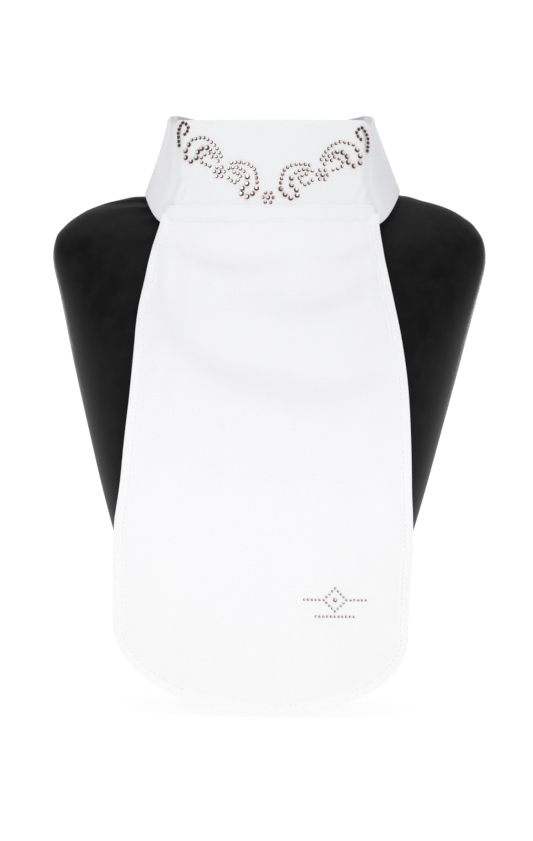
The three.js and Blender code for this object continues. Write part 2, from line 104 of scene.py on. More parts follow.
def makeStudio():
    scene = bpy.context.scene
    scene.view_settings.view_transform = "Standard"
    world = bpy.data.worlds.new("studio")
    world.use_nodes = True
    scene.world = world
    nodes, links = world.node_tree.nodes, world.node_tree.links
    nodes.clear()
    direction = nodes.new("ShaderNodeTexCoord")
    split = nodes.new("ShaderNodeSeparateXYZ")
    sideways = nodes.new("ShaderNodeMath")
    sideways.operation = "ABSOLUTE"
    level = rampColor(nodes, [(x, (share, share, share, 1)) for x, share in studio["sideLevels"]])
    ambient = nodes.new("ShaderNodeBackground")
    ambient.inputs["Strength"].default_value = studio["ambient"]
    backdrop = nodes.new("ShaderNodeBackground")
    backdrop.inputs["Strength"].default_value = studio["backdrop"]
    backdrop.inputs["Color"].default_value = (1, 1, 1, 1)
    path = nodes.new("ShaderNodeLightPath")
    mix = nodes.new("ShaderNodeMixShader")
    output = nodes.new("ShaderNodeOutputWorld")
    links.new(direction.outputs["Generated"], split.inputs[0])
    links.new(split.outputs["X"], sideways.inputs[0])
    links.new(sideways.outputs[0], level.inputs[0])
    links.new(level.outputs[0], ambient.inputs["Color"])
    links.new(path.outputs["Is Camera Ray"], mix.inputs[0])
    links.new(ambient.outputs[0], mix.inputs[1])
    links.new(backdrop.outputs[0], mix.inputs[2])
    links.new(mix.outputs[0], output.inputs[0])

    bpy.ops.mesh.primitive_plane_add(size=80, location=(0, 0, 0))
    floor = bpy.context.object
    floor.name = "studio_floor"
    floorPale = plainMaterial("floorPale", studio["floorColor"], 1.0, glow=studio["floorGlow"])
    floor.data.materials.append(floorPale)

    for settings in studio["lights"]:
        data = bpy.data.lights.new(settings["name"], "AREA")
        data.size = settings["size"]
        data.energy = settings["power"]
        light = bpy.data.objects.new(settings["name"], data)
        scene.collection.objects.link(light)
        light.location = settings["place"]
        toObject = Vector((0, 0, 0.18)) - light.location
        light.rotation_mode = "QUATERNION"
        light.rotation_quaternion = toObject.to_track_quat("-Z", "Y")
    print("studio in place")


def newMaterial(name):
    material = bpy.data.materials.new(name)
    material.use_nodes = True
    tree = material.node_tree
    return material, tree.nodes, tree.links, tree.nodes["Principled BSDF"]


def plainMaterial(name, color, roughness, glow=0):
    material, nodes, links, shader = newMaterial(name)
    shader.inputs["Base Color"].default_value = color
    shader.inputs["Roughness"].default_value = roughness
    shader.inputs["Specular IOR Level"].default_value = 0
    shader.inputs["Emission Color"].default_value = (1, 1, 1, 1)
    shader.inputs["Emission Strength"].default_value = glow
    return material


def rampColor(nodes, stops):
    ramp = nodes.new("ShaderNodeValToRGB")
    while len(ramp.color_ramp.elements) < len(stops):
        ramp.color_ramp.elements.new(0.5)
    while len(ramp.color_ramp.elements) > len(stops):
        ramp.color_ramp.elements.remove(ramp.color_ramp.elements[-1])
    for element, (position, color) in zip(ramp.color_ramp.elements, stops):
        element.position = position
        element.color = color
    return ramp


clothLook = dict(
    thread=0.42,  # mm from one thread to the next
    sheen=0.18,
    roughness=0.82,
    specular=0.2,
)


# Woven cloth. The piece's UV map is stretched to its flat size in mm, so the threads follow the cloth.
# The colour ramp is a list of (share, color) along one axis of the cloth: the cloth's own colour, and on the
# bands and the bib also painted light and shade.
def clothMaterial(name, colorAndLightRamp, flat, axis="X", shade=0.975, wave=1.0, toned=False):
    material, nodes, links, shader = newMaterial(name)
    coords = nodes.new("ShaderNodeTexCoord")
    mapping = nodes.new("ShaderNodeMapping")
    mapping.inputs["Scale"].default_value = (flat[0], flat[1], 1)
    links.new(coords.outputs["UV"], mapping.inputs["Vector"])
    threads = []
    for direction in ("X", "Y"):
        threadWave = nodes.new("ShaderNodeTexWave")
        threadWave.bands_direction = direction
        threadWave.inputs["Scale"].default_value = 0.314 / clothLook["thread"]
        threadWave.inputs["Distortion"].default_value = 0.6
        threadWave.inputs["Detail"].default_value = 1
        links.new(mapping.outputs[0], threadWave.inputs["Vector"])
        threads.append(threadWave)
    weave = nodes.new("ShaderNodeMath")
    weave.operation = "MAXIMUM"
    links.new(threads[0].outputs["Fac"], weave.inputs[0])
    links.new(threads[1].outputs["Fac"], weave.inputs[1])
    slubs = nodes.new("ShaderNodeTexNoise")
    slubs.inputs["Scale"].default_value = 0.9
    slubs.inputs["Detail"].default_value = 3
    links.new(mapping.outputs[0], slubs.inputs["Vector"])
    swells = nodes.new("ShaderNodeTexNoise")
    swells.inputs["Scale"].default_value = 0.045
    swells.inputs["Detail"].default_value = 1.5
    links.new(mapping.outputs[0], swells.inputs["Vector"])
    swellBump = nodes.new("ShaderNodeBump")
    swellBump.inputs["Strength"].default_value = 0.35 * wave
    swellBump.inputs["Distance"].default_value = 0.0012
    links.new(swells.outputs["Fac"], swellBump.inputs["Height"])
    slubBump = nodes.new("ShaderNodeBump")
    slubBump.inputs["Strength"].default_value = 0.3
    slubBump.inputs["Distance"].default_value = 0.00008
    links.new(slubs.outputs["Fac"], slubBump.inputs["Height"])
    links.new(swellBump.outputs[0], slubBump.inputs["Normal"])
    weaveBump = nodes.new("ShaderNodeBump")
    weaveBump.inputs["Strength"].default_value = 0.35
    weaveBump.inputs["Distance"].default_value = 0.00006
    links.new(weave.outputs[0], weaveBump.inputs["Height"])
    links.new(slubBump.outputs[0], weaveBump.inputs["Normal"])
    links.new(weaveBump.outputs[0], shader.inputs["Normal"])
    split = nodes.new("ShaderNodeSeparateXYZ")
    links.new(coords.outputs["UV"], split.inputs[0])
    colorAndLightNode = rampColor(nodes, [(share, (*color, 1)) for share, color in colorAndLightRamp])
    links.new(split.outputs[axis], colorAndLightNode.inputs[0])
    tint = rampColor(nodes, [(0.3, (shade, shade, shade, 1)), (0.7, (1, 1, 1, 1))])
    links.new(slubs.outputs["Fac"], tint.inputs[0])
    mix = nodes.new("ShaderNodeMix")
    mix.data_type = "RGBA"
    mix.blend_type = "MULTIPLY"
    mix.inputs[0].default_value = 1
    links.new(colorAndLightNode.outputs[0], mix.inputs[6])
    links.new(tint.outputs[0], mix.inputs[7])
    color = mix.outputs[2]
    if toned:  # the piece has a tone at each point: painted shade in its folds or inside its rim, and paler on a hem
        tone = nodes.new("ShaderNodeAttribute")
        tone.attribute_name = "clothToneAndShade"
        toning = nodes.new("ShaderNodeMix")
        toning.data_type = "RGBA"
        toning.blend_type = "MULTIPLY"
        toning.inputs[0].default_value = 1
        links.new(color, toning.inputs[6])
        links.new(tone.outputs["Fac"], toning.inputs[7])
        color = toning.outputs[2]
    links.new(color, shader.inputs["Base Color"])
    shader.inputs["Roughness"].default_value = clothLook["roughness"]
    shader.inputs["Specular IOR Level"].default_value = clothLook["specular"]
    shader.inputs["Sheen Weight"].default_value = clothLook["sheen"]
    shader.inputs["Sheen Roughness"].default_value = 0.5
    return material


collarTop, collarFoot = 329.5, 278
bandTop, bandFoot = 282.4, 273
frontFoot, sideFoot, backFoot = 271.8, 288, 292
leftFootLift, rightFootLift, footCurve = 1, 2.4, 1.57
rimPeak, rimBack, rimFrom, rimTo = 331.9, 328, 0.19, 0.8
leftHalfWidth, rightHalfWidth = 71.5, 73.9
panelEdge, sideShare, lapShare, rampShare = 0.28, 0.35, 0.08, 0.11
topHalfWidth, topEdgeHalf, footEdgeHalf = 58.4, 54.7, 61  # the collar's and its panel's half widths
topFront, footFront, topBack, footBack = 54, 64, 52, 55  # depths in front of and behind the neck's axis
sideY, widening, edgeCurve, backRoundness = -4, 1.12, 1.8, 2.2
bandRim = 329.1
frontRadius = 112
collarSlant = 0.0187  # the collar sits a little higher on its right
collarLean, leanFoot = 0.0018, 305  # and leans a little to its left toward its top


def leanAt(z):
    return -collarLean * max(z - leanFoot, 0) ** 2


def panelHalfAt(z):
    return topEdgeHalf + (footEdgeHalf - topEdgeHalf) * (1 - smoothStep(z, bandFoot, bandFoot + 23))


# Outer plan of the collar at a height, t from the front centre (0) to the back centre (1 or -1).
def neckPlan(t, z):
    wrapped = t - 2 * math.copysign(1, t) if abs(t) > 1 else t
    side = math.copysign(1, wrapped)
    share = abs(wrapped)
    down = (collarTop - z) / (collarTop - sideFoot)
    rise = (collarTop - z) / (collarTop - bandFoot)
    full = leftHalfWidth if side < 0 else rightHalfWidth
    half = topHalfWidth + (full - topHalfWidth) * max(down, 0) ** widening
    front = -blendValue(topFront, footFront, rise)
    back = blendValue(topBack, footBack, rise)
    edgeX = min(panelHalfAt(z), half - 1)
    if share <= panelEdge:
        x = edgeX * share / panelEdge
        return Vector((side * x, front + x * x / (2 * frontRadius)))
    edgeY = front + edgeX * edgeX / (2 * frontRadius)
    along = (share - panelEdge) / (1 - panelEdge)
    if along < sideShare:
        w = along / sideShare
        x = half - (half - edgeX) * (1 - w) ** edgeCurve
        return Vector((side * x, blendValue(edgeY, sideY, w)))
    turn = (along - sideShare) / (1 - sideShare) * math.pi / 2
    x = half * max(math.cos(turn), 0) ** (2 / backRoundness)
    return Vector((side * x, sideY + (back - sideY) * math.sin(turn) ** (2 / backRoundness)))


# The plan with its corners rounded, as cloth turns them: a mean over a short stretch of the girth.
def softPlan(t, z, spread=0.042):
    total, weight = Vector((0, 0)), 0
    for k in range(-4, 5):
        w = 5 - abs(k)
        total += w * neckPlan(t + spread * k / 4, z)
        weight += w
    return total / weight


def neckPoint(t, z, outward):
    point = softPlan(t, z)
    along = (softPlan(t + 0.012, z) - softPlan(t - 0.012, z)).normalized()
    return place(point.x + along.y * outward + leanAt(z), point.y - along.x * outward, z)


def panelFacing(x):
    return Vector((x / frontRadius, -1, 10 / 56.5)).normalized()


def panelPoint(x, z, outward):
    here = Vector((x + leanAt(z), neckPlan(0, z).y + x * x / (2 * frontRadius), z))
    return place(*(here + panelFacing(x) * outward))


# Point on the collar's front, which turns back with the neck bands near the panel's edges.
def frontPoint(x, z, outward):
    share = abs(x) / panelHalfAt(z)
    turned = neckPoint(math.copysign(panelEdge * share, x), z, outward)
    return panelPoint(x, z, outward).lerp(turned, smoothStep(share, 0.75, 0.97))


def deselectAll():
    if bpy.context.object and bpy.context.object.mode != "OBJECT":
        bpy.ops.object.mode_set(mode="OBJECT")
    bpy.ops.object.select_all(action="DESELECT")


def makeActive(piece):
    deselectAll()
    piece.select_set(True)
    bpy.context.view_layer.objects.active = piece


# A grid whose points are moved in code. Its own UV map stays, across and up the cloth.
def shapedGrid(name, columns, rows, pointAt):
    deselectAll()
    bpy.ops.mesh.primitive_grid_add(x_subdivisions=columns, y_subdivisions=rows, size=2, calc_uvs=True)
    piece = bpy.context.object
    piece.name = name
    piece.data.name = name
    for vertex in piece.data.vertices:
        vertex.co = pointAt((vertex.co.x + 1) / 2, (1 - vertex.co.y) / 2)
    piece.data.update()
    return piece


def applyModifiers(piece):
    makeActive(piece)
    for modifier in list(piece.modifiers):
        bpy.ops.object.modifier_apply(modifier=modifier.name)


def thicken(piece, thickness, rounding):
    solid = piece.modifiers.new("thickness", "SOLIDIFY")
    solid.thickness = thickness * 0.001
    solid.offset = -1
    edge = piece.modifiers.new("foldedEdge", "BEVEL")
    edge.width = rounding * 0.001
    edge.segments = 3
    edge.limit_method = "ANGLE"
    edge.angle_limit = math.radians(50)
    applyModifiers(piece)


def finishPiece(piece, material, slotName, *nodes):
    makeActive(piece)
    bpy.ops.object.shade_smooth_by_angle(angle=math.radians(40))
    piece.data.materials.clear()
    piece.data.materials.append(material)
    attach(piece, "root")
    if nodes:
        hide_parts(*nodes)
    return piece


bust = dict(
    levels=3, polish=3, neckPolish=140,
    keepFrom=50, keepTo=288.6,  # heights between which the form keeps its size
    # mm that the shoulders come up before they are smoothed, and after it beside the collar
    shoulderRise=3, leftRise=0.4, rightRise=1.3,
    color=(0.0056, 0.0056, 0.0060), cloudShare=1.7, roughness=0.42, specular=0.06,
)


def satinMaterial():
    material, nodes, links, shader = newMaterial("blackSatin")
    coords = nodes.new("ShaderNodeTexCoord")
    grain = nodes.new("ShaderNodeTexNoise")
    grain.inputs["Scale"].default_value = 900
    grain.inputs["Detail"].default_value = 2
    links.new(coords.outputs["Object"], grain.inputs["Vector"])
    cloud = nodes.new("ShaderNodeTexNoise")
    cloud.inputs["Scale"].default_value = 120
    cloud.inputs["Detail"].default_value = 6
    links.new(coords.outputs["Object"], cloud.inputs["Vector"])
    rough = nodes.new("ShaderNodeMapRange")
    rough.inputs["To Min"].default_value = bust["roughness"] - 0.05
    rough.inputs["To Max"].default_value = bust["roughness"] + 0.07
    links.new(cloud.outputs["Fac"], rough.inputs["Value"])
    links.new(rough.outputs[0], shader.inputs["Roughness"])
    grainBump = nodes.new("ShaderNodeBump")
    grainBump.inputs["Strength"].default_value = 0.12
    grainBump.inputs["Distance"].default_value = 0.00005
    links.new(grain.outputs["Fac"], grainBump.inputs["Height"])
    links.new(grainBump.outputs[0], shader.inputs["Normal"])
    cloudColor = [bust["cloudShare"] * part for part in bust["color"]]
    tint = rampColor(nodes, [(0.35, (*bust["color"], 1)), (0.65, (*cloudColor, 1))])
    links.new(cloud.outputs["Fac"], tint.inputs[0])
    links.new(tint.outputs[0], shader.inputs["Base Color"])
    shader.inputs["Specular IOR Level"].default_value = bust["specular"]
    return material


def makeBust():
    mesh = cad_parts["neck_bust"].data.copy()
    piece = bpy.data.objects.new("satin_bust", mesh)
    bpy.context.scene.collection.objects.link(piece)
    makeActive(piece)
    bpy.ops.object.mode_set(mode="EDIT")
    bpy.ops.mesh.select_all(action="SELECT")
    bpy.ops.mesh.remove_doubles(threshold=0.00002)
    bpy.ops.mesh.tris_convert_to_quads(face_threshold=math.radians(60), shape_threshold=math.radians(60))
    bpy.ops.object.mode_set(mode="OBJECT")
    # the rim of the foot stays crisp, so that it stands flat
    sideEdges = {key for face in mesh.polygons if face.normal.z > -0.9 for key in face.edge_keys}
    crease = mesh.attributes.new("crease_edge", "FLOAT", "EDGE")
    for edge in mesh.edges:
        if edge.key in sideEdges and all(mesh.vertices[i].co.z < 0.001 for i in edge.vertices):
            crease.data[edge.index].value = 0.8
    rounded = piece.modifiers.new("roundedForm", "SUBSURF")
    rounded.levels = bust["levels"]
    rounded.render_levels = bust["levels"]
    # The rounded form shrinks inside its corners, so they are pushed out until it passes through them.
    corners = [vertex.co.copy() for vertex in mesh.vertices]
    for _ in range(3):
        bpy.context.view_layer.update()
        shown = piece.evaluated_get(bpy.context.evaluated_depsgraph_get()).to_mesh()
        for i, corner in enumerate(corners):
            level = corner.z * 1000 - (corner.x - neckAxis.x) * 1000 * collarSlant
            if bust["keepFrom"] < level < bust["keepTo"]:
                mesh.vertices[i].co += (corner - shown.vertices[i].co) * 0.75
        mesh.update()
    polish = piece.modifiers.new("polish", "SMOOTH")
    polish.factor = 0.5
    polish.iterations = bust["polish"]
    applyModifiers(piece)
    # the shoulders rise a little to the collar, and their slopes are smoothed
    slopes = piece.vertex_groups.new(name="neckSlopes")
    for vertex in piece.data.vertices:
        height = vertex.co.z * 1000
        across = abs(vertex.co.x - neckAxis.x) * 1000
        rise = smoothStep(across, 112, 84) * smoothStep(across, 68, 76) * smoothStep(height, 240, 275)
        vertex.co.z += bust["shoulderRise"] * rise * 0.001
        share = smoothStep(height, 232, 254) * smoothStep(height, 300, 289) * smoothStep(across, 106, 88)
        if share > 0:
            slopes.add([vertex.index], share, "REPLACE")
    polish = piece.modifiers.new("polish", "SMOOTH")
    polish.vertex_group = slopes.name
    polish.factor = 0.5
    polish.iterations = bust["neckPolish"]
    applyModifiers(piece)
    # beside the collar the shoulders come up to the corners of its foot
    for vertex in piece.data.vertices:
        across = (vertex.co.x - neckAxis.x) * 1000
        away = abs(across) - (leftHalfWidth if across < 0 else rightHalfWidth)
        depth = abs(vertex.co.y - neckAxis.y) * 1000
        share = smoothStep(away, 12, 0) * smoothStep(depth, 36, 12) * smoothStep(vertex.co.z * 1000, 262, 280)
        vertex.co.z += bust["leftRise" if across < 0 else "rightRise"] * share * 0.001
    finishPiece(piece, satinMaterial(), "bust", "neck_bust")
    print("bust", len(piece.data.polygons), "faces")


collar = dict(
    panelColor=(0.875, 0.885, 0.892),
    paintedGapShade=(0.60, 0.595, 0.625),  # painted shade: the bands' ends under the panel, seen inside the rim
    # painted light and shade: each band's colour as that side is lit; the cloth is the same on both sides
    leftLitColor=(0.94, 0.93, 0.985),
    rightLitColor=(0.885, 0.878, 0.928),
    panelThickness=1.5,
    bandThickness=1.2,
    # painted shade on the band's inside above the panel's corners
    rimPaintedShade=0.2,
    panelGap=0.3,
)


def makeCollarPanel():
    thickness = collar["panelThickness"]

    def pointAt(across, down):
        level = blendValue(collarTop, collarFoot, down)
        side = 2 * across - 1
        half = panelHalfAt(level)
        x = half * side
        z = level + x * collarSlant
        edge = smoothStep(abs(side), 0.88, 1)  # the last millimetres sink into the band
        outward = collar["panelGap"] + thickness - 1.65 * edge
        rim = 0.5 * smoothStep(down, 0.06, 0)  # the top edge is folded to the back
        crease = 0.45 * math.sin(x * 1.1 - z * 0.45) * bump(abs(x), 49, 4) * bump(z, 289, 6)
        return frontPoint(x, z, outward - rim + crease)

    piece = shapedGrid("collar_panel", 120, 48, pointAt)
    thicken(piece, thickness - 0.5, 0.4)
    material = clothMaterial("collarCotton", [(0, collar["panelColor"])], (112, 54), wave=0.4)
    finishPiece(piece, material, "collar_cloth", "collar_front")
    print("collar panel")


# Heights of a neck band's upper and lower edge. The rim stands above the panel at its corners.
def bandEdges(share, side):
    sideEdge = panelEdge + sideShare * (1 - panelEdge)
    sideLevel = sideFoot + (leftFootLift if side < 0 else rightFootLift)
    towardPeak = smoothStep(share, rimFrom, panelEdge)
    pastPeak = smoothStep(share, panelEdge, rimTo)
    rise = 1 - (1 - min(max((share - panelEdge) / (sideEdge - panelEdge), 0), 1)) ** footCurve
    toBack = smoothStep(share, sideEdge, 1)
    top = bandRim + (rimPeak - bandRim) * towardPeak - (rimPeak - rimBack) * pastPeak
    foot = frontFoot + (sideLevel - frontFoot) * rise + (backFoot - sideLevel) * toBack
    return top, foot


def makeNeckband(name, node, side, lapLift):
    start, end = panelEdge - 0.07, 1 + lapShare
    tones = []

    def pointAt(across, down):
        share = blendValue(start, end, across if side > 0 else 1 - across)
        # the rim above the panel's corner is painted darker: painted shade of the band's inside
        tones.append(1 - collar["rimPaintedShade"] * smoothStep(down, 0.1, 0.05) * smoothStep(share, 0.36, 0.3))
        t = side * share
        top, foot = bandEdges(min(share, 2 - share), side)
        level = blendValue(top, foot, down)
        z = level + neckPlan(t, level).x * collarSlant
        rampEnd = 1 - lapShare - 0.01
        lift = lapLift * smoothStep(share, rampEnd - rampShare, rampEnd)
        return neckPoint(t, z, lift)

    piece = shapedGrid(name, 180, 36, pointAt)
    piece.data.attributes.new("clothToneAndShade", "FLOAT", "POINT").data.foreach_set("value", tones)
    thicken(piece, collar["bandThickness"], 0.5)
    # painted light and shade: the band is as pale as the panel where it leaves it, and from there to the side
    # it takes the colour painted for the light on that side
    own = collar["leftLitColor"] if side < 0 else collar["rightLitColor"]
    colorAndLightRamp = [(0.06, collar["paintedGapShade"]), (0.076, collar["panelColor"]), (0.2, own)]
    if side < 0:
        colorAndLightRamp = [(1 - share, color) for share, color in reversed(colorAndLightRamp)]
    material = clothMaterial(name + "Cotton", colorAndLightRamp, (196, 48), wave=0.5, toned=True)
    finishPiece(piece, material, "collar_cloth", node)
    print(name)


seamBand = dict(
    middle=-1.2, topHalf=59.4, footHalf=60.6, thickness=0.4, topOutward=2.35, footOutward=2.05,
    color=(0.895, 0.905, 0.915), stitchRows=(0.14, 0.86),
)


def makeSeamBand():
    def pointAt(across, down):
        level = blendValue(bandTop, bandFoot, down)
        side = 2 * across - 1
        x = seamBand["middle"] + blendValue(seamBand["topHalf"], seamBand["footHalf"], down) * side
        stitchLine = sum(bump(down, row, 0.06) for row in seamBand["stitchRows"])
        pucker = math.sin(x * 0.9) * bump(abs(x), 53, 7) * 0.16
        tuck = 1.6 * smoothStep(abs(side), 0.94, 1)
        rolled = 0.2 * (smoothStep(down, 0.12, 0) + smoothStep(down, 0.88, 1))
        outward = blendValue(seamBand["topOutward"], seamBand["footOutward"], down)
        return frontPoint(x, level + x * collarSlant, outward - 0.08 * stitchLine + pucker - tuck - rolled)

    piece = shapedGrid("seam_cover", 200, 24, pointAt)
    thicken(piece, seamBand["thickness"], 0.2)
    material = clothMaterial("seamCotton", [(0, seamBand["color"])], (122, 9.6), wave=0.3)
    finishPiece(piece, material, "collar_cloth", "seam_band")
    print("seam band")


bibSections = [  # height, middle, half width, reach in front of the neck's axis, bend of the edges
    (2, 0.5, 82.5, 78, 6), (48, -1.4, 81.5, 78.6, 6), (66, -1.5, 82, 78.8, 6.3), (104, -0.9, 82.7, 79.2, 7),
    (128, -0.1, 80.8, 79.3, 7.7), (149, 0.3, 79.6, 79.4, 8.5), (175, 0.7, 77.8, 79.1, 10.2),
    (188, 0.6, 76.6, 78.8, 11), (201, 0.1, 75.1, 77.9, 12.4), (215, -0.7, 73.2, 76.8, 14),
    (228, -1.3, 70.9, 74.6, 16.9), (241, -1.6, 68.3, 72, 20), (257, -1.8, 64.8, 68.7, 24.8),
    (271, -1, 60.8, 65.9, 29.3), (277.7, -0.2, 59.8, 64.8, 30),
]
bibFolds = [  # from x, z to x, z, sag, depth, half breadth
    (-55, 259, -2, 250, 6, 1.4, 5),
    (-72, 232, -46, 214, -1, 1.0, 11),
    (-57, 212, 4, 184, 8, 1.3, 8),
    (-10, 187, 58, 186, 8, 1.0, 9),
    (53, 238, -4, 230, 7, 1.1, 7),
    (58, 262, 30, 254, 3, 0.8, 4),
]
bib = dict(
    tip=2, roundDepth=46.5, footHalf=82, tilt=0.02, thickness=1.2, columns=64, rows=104,
    hem=6, hemStitch=4.8, hemStep=0.35, hemSeam=0.25, ripple=0.35,
    colorAndLightRamp=[(0, (0.98, 0.98, 0.99)), (0.4, (0.98, 0.98, 0.995)), (0.8, (0.91, 0.912, 0.93))],  # painted light: paler downward, where light from the floor falls
    foldPaintedShade=0.05, hemTone=0.02,  # how much darker the cloth is painted in a fold, as painted shade, and paler on its hem
    frames=18, settle=1.6,  # frames of hanging, and the most mm that they may move the cloth
)


def readSections(z, column):
    rows = bibSections
    if z <= rows[0][0]:
        return rows[0][column]
    if z >= rows[-1][0]:
        return rows[-1][column]
    k = next(i for i in range(1, len(rows)) if rows[i][0] > z)

    def slopeAt(i):
        low, high = max(i - 1, 0), min(i + 1, len(rows) - 1)
        return (rows[high][column] - rows[low][column]) / (rows[high][0] - rows[low][0])

    span = rows[k][0] - rows[k - 1][0]
    s = (z - rows[k - 1][0]) / span
    a, b = rows[k - 1][column], rows[k][column]
    return ((2 * s ** 3 - 3 * s ** 2 + 1) * a + (s ** 3 - 2 * s ** 2 + s) * span * slopeAt(k - 1)
            + (3 * s ** 2 - 2 * s ** 3) * b + (s ** 3 - s ** 2) * span * slopeAt(k))


def foldDepth(x, z):
    depth = 0
    for fromX, fromZ, toX, toZ, sag, foldSize, breadth in bibFolds:
        share = (x - fromX) / (toX - fromX)
        inside = min(max(share, 0), 1)
        line = blendValue(fromZ, toZ, inside) - sag * 4 * inside * (1 - inside)
        fade = math.exp(-((share - inside) * 4) ** 2) * math.sin(math.pi * (0.15 + 0.7 * inside))
        depth += foldSize * fade * bump(z, line, breadth)
    return depth


def bibFoot(across):  # height of the rounded lower edge, across from -1 to 1
    rounding = 1 - math.sqrt(max(1 - across * across, 0))
    return bib["tip"] + bib["roundDepth"] * rounding - bib["tilt"] * bib["footHalf"] * across


# Distance in mm from the bib's side and rounded edge, over the face.
def edgeDistance(across, z, half):
    side = half * (1 - abs(across))
    edgeRun = bib["footHalf"] * math.sqrt(max(1 - across * across, 0.02))
    slope = bib["roundDepth"] * across / edgeRun - bib["tilt"]
    return min(side, (z - bibFoot(across)) / math.sqrt(1 + slope * slope))


# Point on the bib's face: how far in front of the neck's axis the cloth hangs at a place on it.
def bibPoint(x, z, outward=0):
    slant = x * collarSlant * smoothStep(z, 250, bibSections[-1][0])
    bend = readSections(z, 4) * (x / bib["footHalf"]) ** 2
    ripple = bib["ripple"] * noise.noise(Vector((x / 34, z / 62, 2.7))) * smoothStep(z, 265, 225)
    return place(x, bend + foldDepth(x, z) + ripple - readSections(z, 3) - outward, z + slant)


# The cloth hangs from its seam for a moment and settles on the bust. It may move only a little.
def hangCloth(piece):
    start = [vertex.co.copy() for vertex in piece.data.vertices]
    pinned = piece.vertex_groups.new(name="seam")
    pinned.add([i for i, co in enumerate(start) if co.z > 0.2745], 1, "REPLACE")
    body = bpy.data.objects["satin_bust"]
    body.modifiers.new("restsOn", "COLLISION")
    body.collision.thickness_outer = 0.0006
    cloth = piece.modifiers.new("hanging", "CLOTH")
    cloth.settings.vertex_group_mass = "seam"
    cloth.settings.quality = 7
    cloth.settings.mass = 0.01
    cloth.settings.tension_stiffness = 60
    cloth.settings.compression_stiffness = 60
    cloth.settings.shear_stiffness = 20
    cloth.settings.bending_stiffness = 1.2
    cloth.settings.air_damping = 4
    cloth.collision_settings.use_collision = True
    cloth.collision_settings.distance_min = 0.0006
    cloth.point_cache.frame_start = 1
    cloth.point_cache.frame_end = bib["frames"]
    for step in range(1, bib["frames"] + 1):
        bpy.context.scene.frame_set(step)
    applyModifiers(piece)
    bpy.context.scene.frame_set(1)
    body.modifiers.remove(body.modifiers["restsOn"])
    most = bib["settle"] * 0.001
    moved = 0
    for vertex, before in zip(piece.data.vertices, start):
        step = vertex.co - before
        moved = max(moved, step.length)
        if step.length > most:
            vertex.co = before + step * (most / step.length)
    print("bib settled, free movement", round(moved * 1000, 2), "mm")


def makeBib():
    top = bibSections[-1][0]
    thickest = bib["thickness"] + bib["hemStep"]

    def pointAt(across, down):
        over = math.sin((across - 0.5) * math.pi)
        z = blendValue(top, bibFoot(over), down)
        return bibPoint(readSections(z, 1) + over * readSections(z, 2), z)

    piece = shapedGrid("plastron", bib["columns"], bib["rows"], pointAt)
    hangCloth(piece)
    finer = piece.modifiers.new("finer", "SUBSURF")
    finer.levels = finer.render_levels = 1
    finer.subdivision_type = "CATMULL_CLARK"
    finer.boundary_smooth = "ALL"
    applyModifiers(piece)
    # the turned hem: the cloth's face steps out over it, with a groove along its seam
    normals = [vertex.normal.copy() for vertex in piece.data.vertices]
    tones = []
    for vertex, normal in zip(piece.data.vertices, normals):
        x = (vertex.co.x - neckAxis.x) * 1000
        z = vertex.co.z * 1000
        half = readSections(z, 2)
        over = min(max((x - readSections(z, 1)) / half, -1), 1)
        inward = edgeDistance(over, z, half)
        hemLift = bib["hemStep"] * (1 - smoothStep(inward, bib["hem"] - 0.7, bib["hem"] + 0.5))
        groove = bib["hemSeam"] * bump(inward, bib["hemStitch"], 0.75)
        vertex.co += normal * (hemLift - groove) * 0.001
        # painted shade: the cloth is painted darker along the folds
        fold = min(foldDepth(x, z) / 1.5, 1)
        tones.append(1 - bib["foldPaintedShade"] * fold + bib["hemTone"] * hemLift / bib["hemStep"])
    piece.data.attributes.new("clothToneAndShade", "FLOAT", "POINT").data.foreach_set("value", tones)
    thicken(piece, thickest, 0.5)
    material = clothMaterial("bibCotton", bib["colorAndLightRamp"], (166, 276), axis="Y", toned=True)
    finishPiece(piece, material, "bib_cloth", "bib")
    print("bib", len(piece.data.polygons), "faces")


sewing = dict(length=1.9, pitch=2.9, thick=0.34, color=(0.86, 0.865, 0.87, 1))


def threadMaterial():
    material, nodes, links, shader = newMaterial("sewingThread")
    coords = nodes.new("ShaderNodeTexCoord")
    twist = nodes.new("ShaderNodeTexWave")
    twist.bands_direction = "DIAGONAL"
    twist.inputs["Scale"].default_value = 900
    links.new(coords.outputs["Object"], twist.inputs["Vector"])
    twistBump = nodes.new("ShaderNodeBump")
    twistBump.inputs["Strength"].default_value = 0.3
    twistBump.inputs["Distance"].default_value = 0.00005
    links.new(twist.outputs["Fac"], twistBump.inputs["Height"])
    links.new(twistBump.outputs[0], shader.inputs["Normal"])
    shader.inputs["Base Color"].default_value = sewing["color"]
    shader.inputs["Roughness"].default_value = 0.55
    shader.inputs["Sheen Weight"].default_value = 0.2
    return material


def walkLine(points, pitch):  # spots at an even pitch along a line, each with its direction
    spots, carried = [], pitch / 2
    for a, b in zip(points, points[1:]):
        span = (b - a).length
        while carried < span:
            spots.append((a.lerp(b, carried / span), (b - a).normalized()))
            carried += pitch
        carried -= span
    return spots


